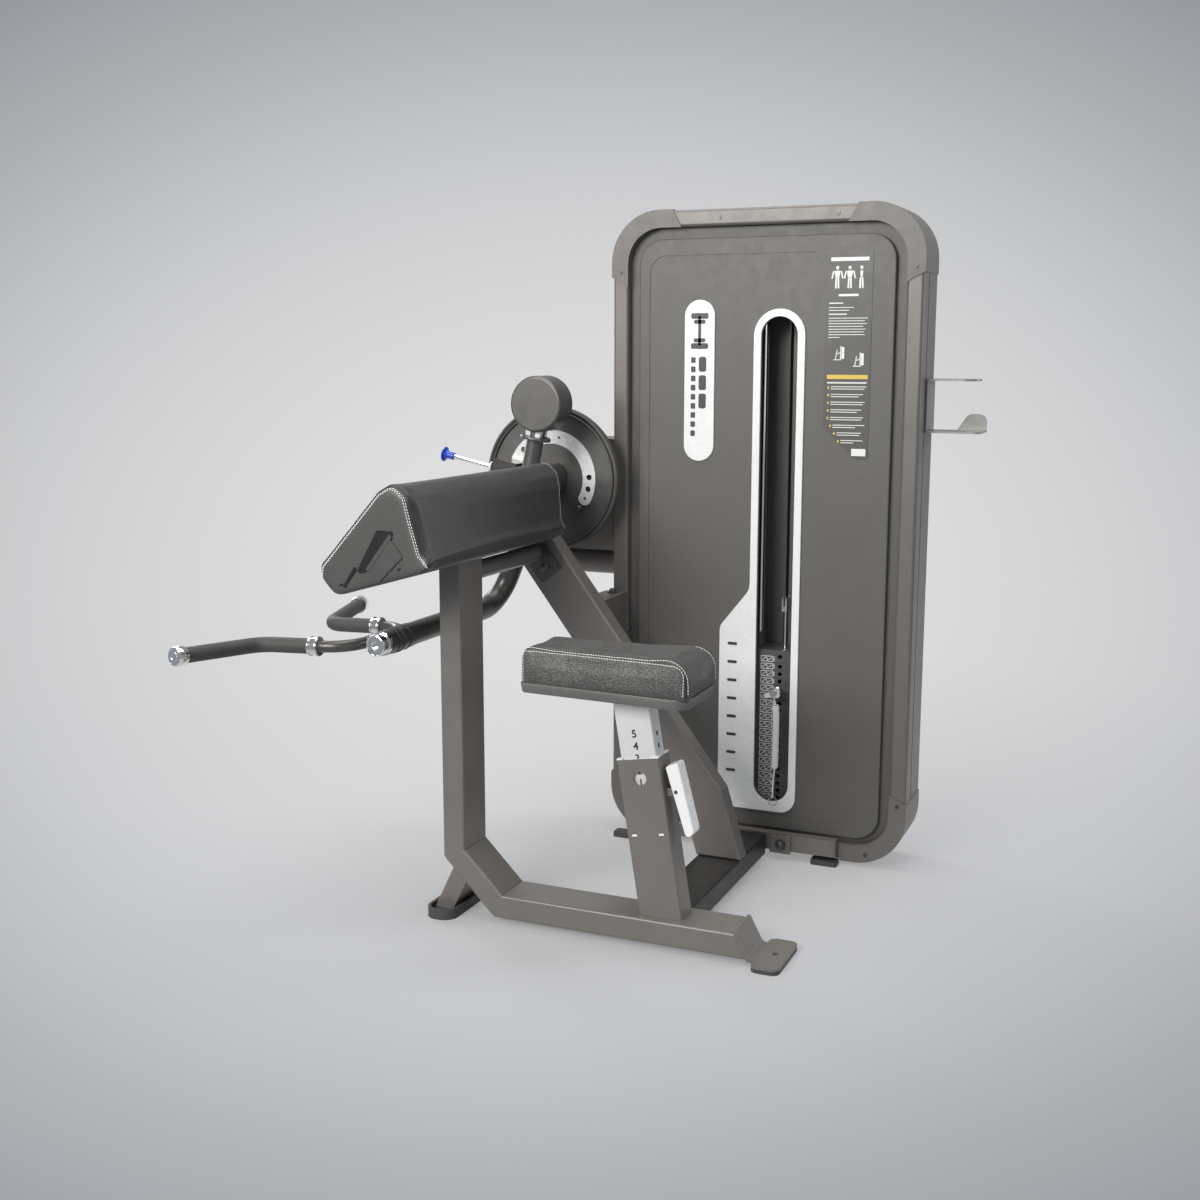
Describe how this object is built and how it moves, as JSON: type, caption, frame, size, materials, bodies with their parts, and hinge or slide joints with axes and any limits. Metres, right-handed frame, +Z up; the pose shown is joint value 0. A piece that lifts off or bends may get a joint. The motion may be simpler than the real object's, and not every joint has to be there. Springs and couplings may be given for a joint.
{
  "type": "preacher curl machine",
  "caption": "Seated arm curl machine: sloping arm pad, swinging counterweighted arm with cambered handle, adjustable seat, and a weight stack in a rounded upright tower.",
  "frame": {"origin": "on the floor, below the centre of the machine's box", "axes": "+Z up; the seated user faces -X and the weight tower stands on the +Y side"},
  "size_m": [1.427, 1.0781, 1.5025],
  "materials": {
    "frame_paint": "warm grey satin powder coat",
    "tower_paint": "warm grey satin powder coat",
    "corner_plastic": "grey satin moulded plastic",
    "panel_plastic": "fine grained grey moulded panel",
    "white_trim": "white semi-gloss moulding",
    "placard_print": "dark printed sheet",
    "rubber": "black rubber",
    "grip_foam": "ribbed black rubber grip",
    "black_steel": "black satin coat",
    "holder_steel": "grey satin bent sheet",
    "chrome": "polished chrome",
    "steel": "turned steel",
    "stack_iron": "black coated iron",
    "pulley_plastic": "black nylon",
    "belt": "black reinforced belt",
    "lanyard": "clear curled lead",
    "puller_blue": "blue moulded knob on a steel rod",
    "seat_tube_paint": "light grey satin coat",
    "shell_plastic": "grey moulded shell",
    "upholstery": "charcoal synthetic leather, pale double stitching"
  },
  "bodies": {
    "frame": {"base_beam": "frame_paint", "base_elbow": "frame_paint", "pad_post": "frame_paint", "rear_foot_plate": "frame_paint", "rubber_feet": "rubber", "front_foot": "rubber", "front_leg": "frame_paint", "cross_beam": "frame_paint", "brace_tube": "frame_paint", "pad_crossbar": "frame_paint", "link_tube": "frame_paint", "tower_tie": "frame_paint", "tower_base_rail": "frame_paint", "frame_rails": "tower_paint", "frame_corners": "corner_plastic", "front_panel": "panel_plastic", "slot_trim": "white_trim", "badge_plate": "white_trim", "placard": "placard_print", "rear_panel": "tower_paint", "frame_bolts": "black_steel", "accessory_holder": "holder_steel", "guide_rods": "chrome", "stack_bumpers": "rubber", "plates_resting": "stack_iron", "pulley_brackets": "frame_paint", "cam_housing": "frame_paint", "shaft_bearings": "steel", "pad_shell": "shell_plastic", "pad_cushion": "upholstery", "seat_sleeve": "frame_paint", "seat_guides": "white_trim", "lift_belt": "belt", "belt_drop": "belt"},
    "cam": {"pivot_shaft": "steel", "cam_drum": "stack_iron", "cam_disc": "black_steel", "range_plate": "chrome"},
    "arm": {"arm_tube": "black_steel", "arm_end_cap": "chrome", "counterweight_neck": "black_steel", "counterweight": "black_steel", "pin_housing": "black_steel"},
    "puller": {"range_rod": "puller_blue"},
    "lock": {"lock_pin": "steel"},
    "handle": {"handle_bar": "black_steel", "handle_grips": "grip_foam", "grip_collars": "chrome"},
    "stack": {"plates_lifted": "stack_iron", "top_plate": "stack_iron", "selector_stem": "chrome"},
    "selector": {"selector_pin": "steel", "pin_lanyard": "lanyard"},
    "upper_pulley": {"top_pulley": "pulley_plastic"},
    "lower_pulley": {"low_pulley": "pulley_plastic"},
    "seat": {"seat_tube": "seat_tube_paint", "seat_shell": "shell_plastic", "seat_cushion": "upholstery"},
    "lever": {"seat_lever": "white_trim"},
    "latch": {"latch_pin": "steel"}
  },
  "joints": [
    {"name": "cam_pivot", "type": "hinge", "parent": "frame", "child": "cam", "pos_m": [-0.262, 0.469, 0.885], "axis": [0, 1, 0], "range_deg": [0, 84]},
    {"name": "start_angle", "type": "hinge", "parent": "cam", "child": "arm", "pos_m": [-0.262, 0.25, 0.885], "axis": [0, 1, 0], "range_deg": [0, 30]},
    {"name": "range_pull", "type": "slide", "parent": "arm", "child": "puller", "axis": [-0.9799, 0, 0.1994], "range_m": [0, 0.016], "stiffness_N_per_m": 900, "springref_m": -0.01},
    {"name": "lock_travel", "type": "slide", "parent": "arm", "child": "lock", "axis": [0, -1, 0], "range_m": [0, 0.016]},
    {"name": "handle_swivel", "type": "hinge", "parent": "arm", "child": "handle", "pos_m": [-0.3886, -0.191, 0.5778], "axis": [0, 1, 0], "range_deg": [-60, 60]},
    {"name": "stack_lift", "type": "slide", "parent": "frame", "child": "stack", "axis": [0, 0, 1], "range_m": [0, 0.125], "deforming": ["belt_drop"]},
    {"name": "pin_select", "type": "slide", "parent": "stack", "child": "selector", "axis": [0, -1, 0], "range_m": [0, 0.06]},
    {"name": "upper_pulley_spin", "type": "hinge", "parent": "frame", "child": "upper_pulley", "pos_m": [0.23425, 0.469, 1.4], "axis": [0, 1, 0], "range_deg": [-170, 0]},
    {"name": "lower_pulley_spin", "type": "hinge", "parent": "frame", "child": "lower_pulley", "pos_m": [0.143, 0.469, 0.85], "axis": [0, 1, 0], "range_deg": [0, 170]},
    {"name": "seat_height", "type": "slide", "parent": "frame", "child": "seat", "axis": [-0.1582, 0, 0.9874], "range_m": [-0.075, 0.1]},
    {"name": "seat_release", "type": "hinge", "parent": "frame", "child": "lever", "pos_m": [0.25799, -0.191, 0.3229], "axis": [0, 1, 0], "range_deg": [0, 15], "stiffness_Nm_per_rad": 3, "springref_deg": -11.46},
    {"name": "latch_travel", "type": "slide", "parent": "frame", "child": "latch", "axis": [0.9874, 0, 0.1582], "range_m": [0, 0.012]}
  ],
  "couplings": [
    {"joint": "stack_lift", "follows": "cam_pivot", "m_per_rad": 0.0798},
    {"joint": "upper_pulley_spin", "follows": "cam_pivot", "ratio": -1.7852},
    {"joint": "lower_pulley_spin", "follows": "cam_pivot", "ratio": 1.7161},
    {"joint": "lock_travel", "follows": "range_pull", "ratio": 1},
    {"joint": "latch_travel", "follows": "seat_release", "m_per_rad": 0.042}
  ]
}
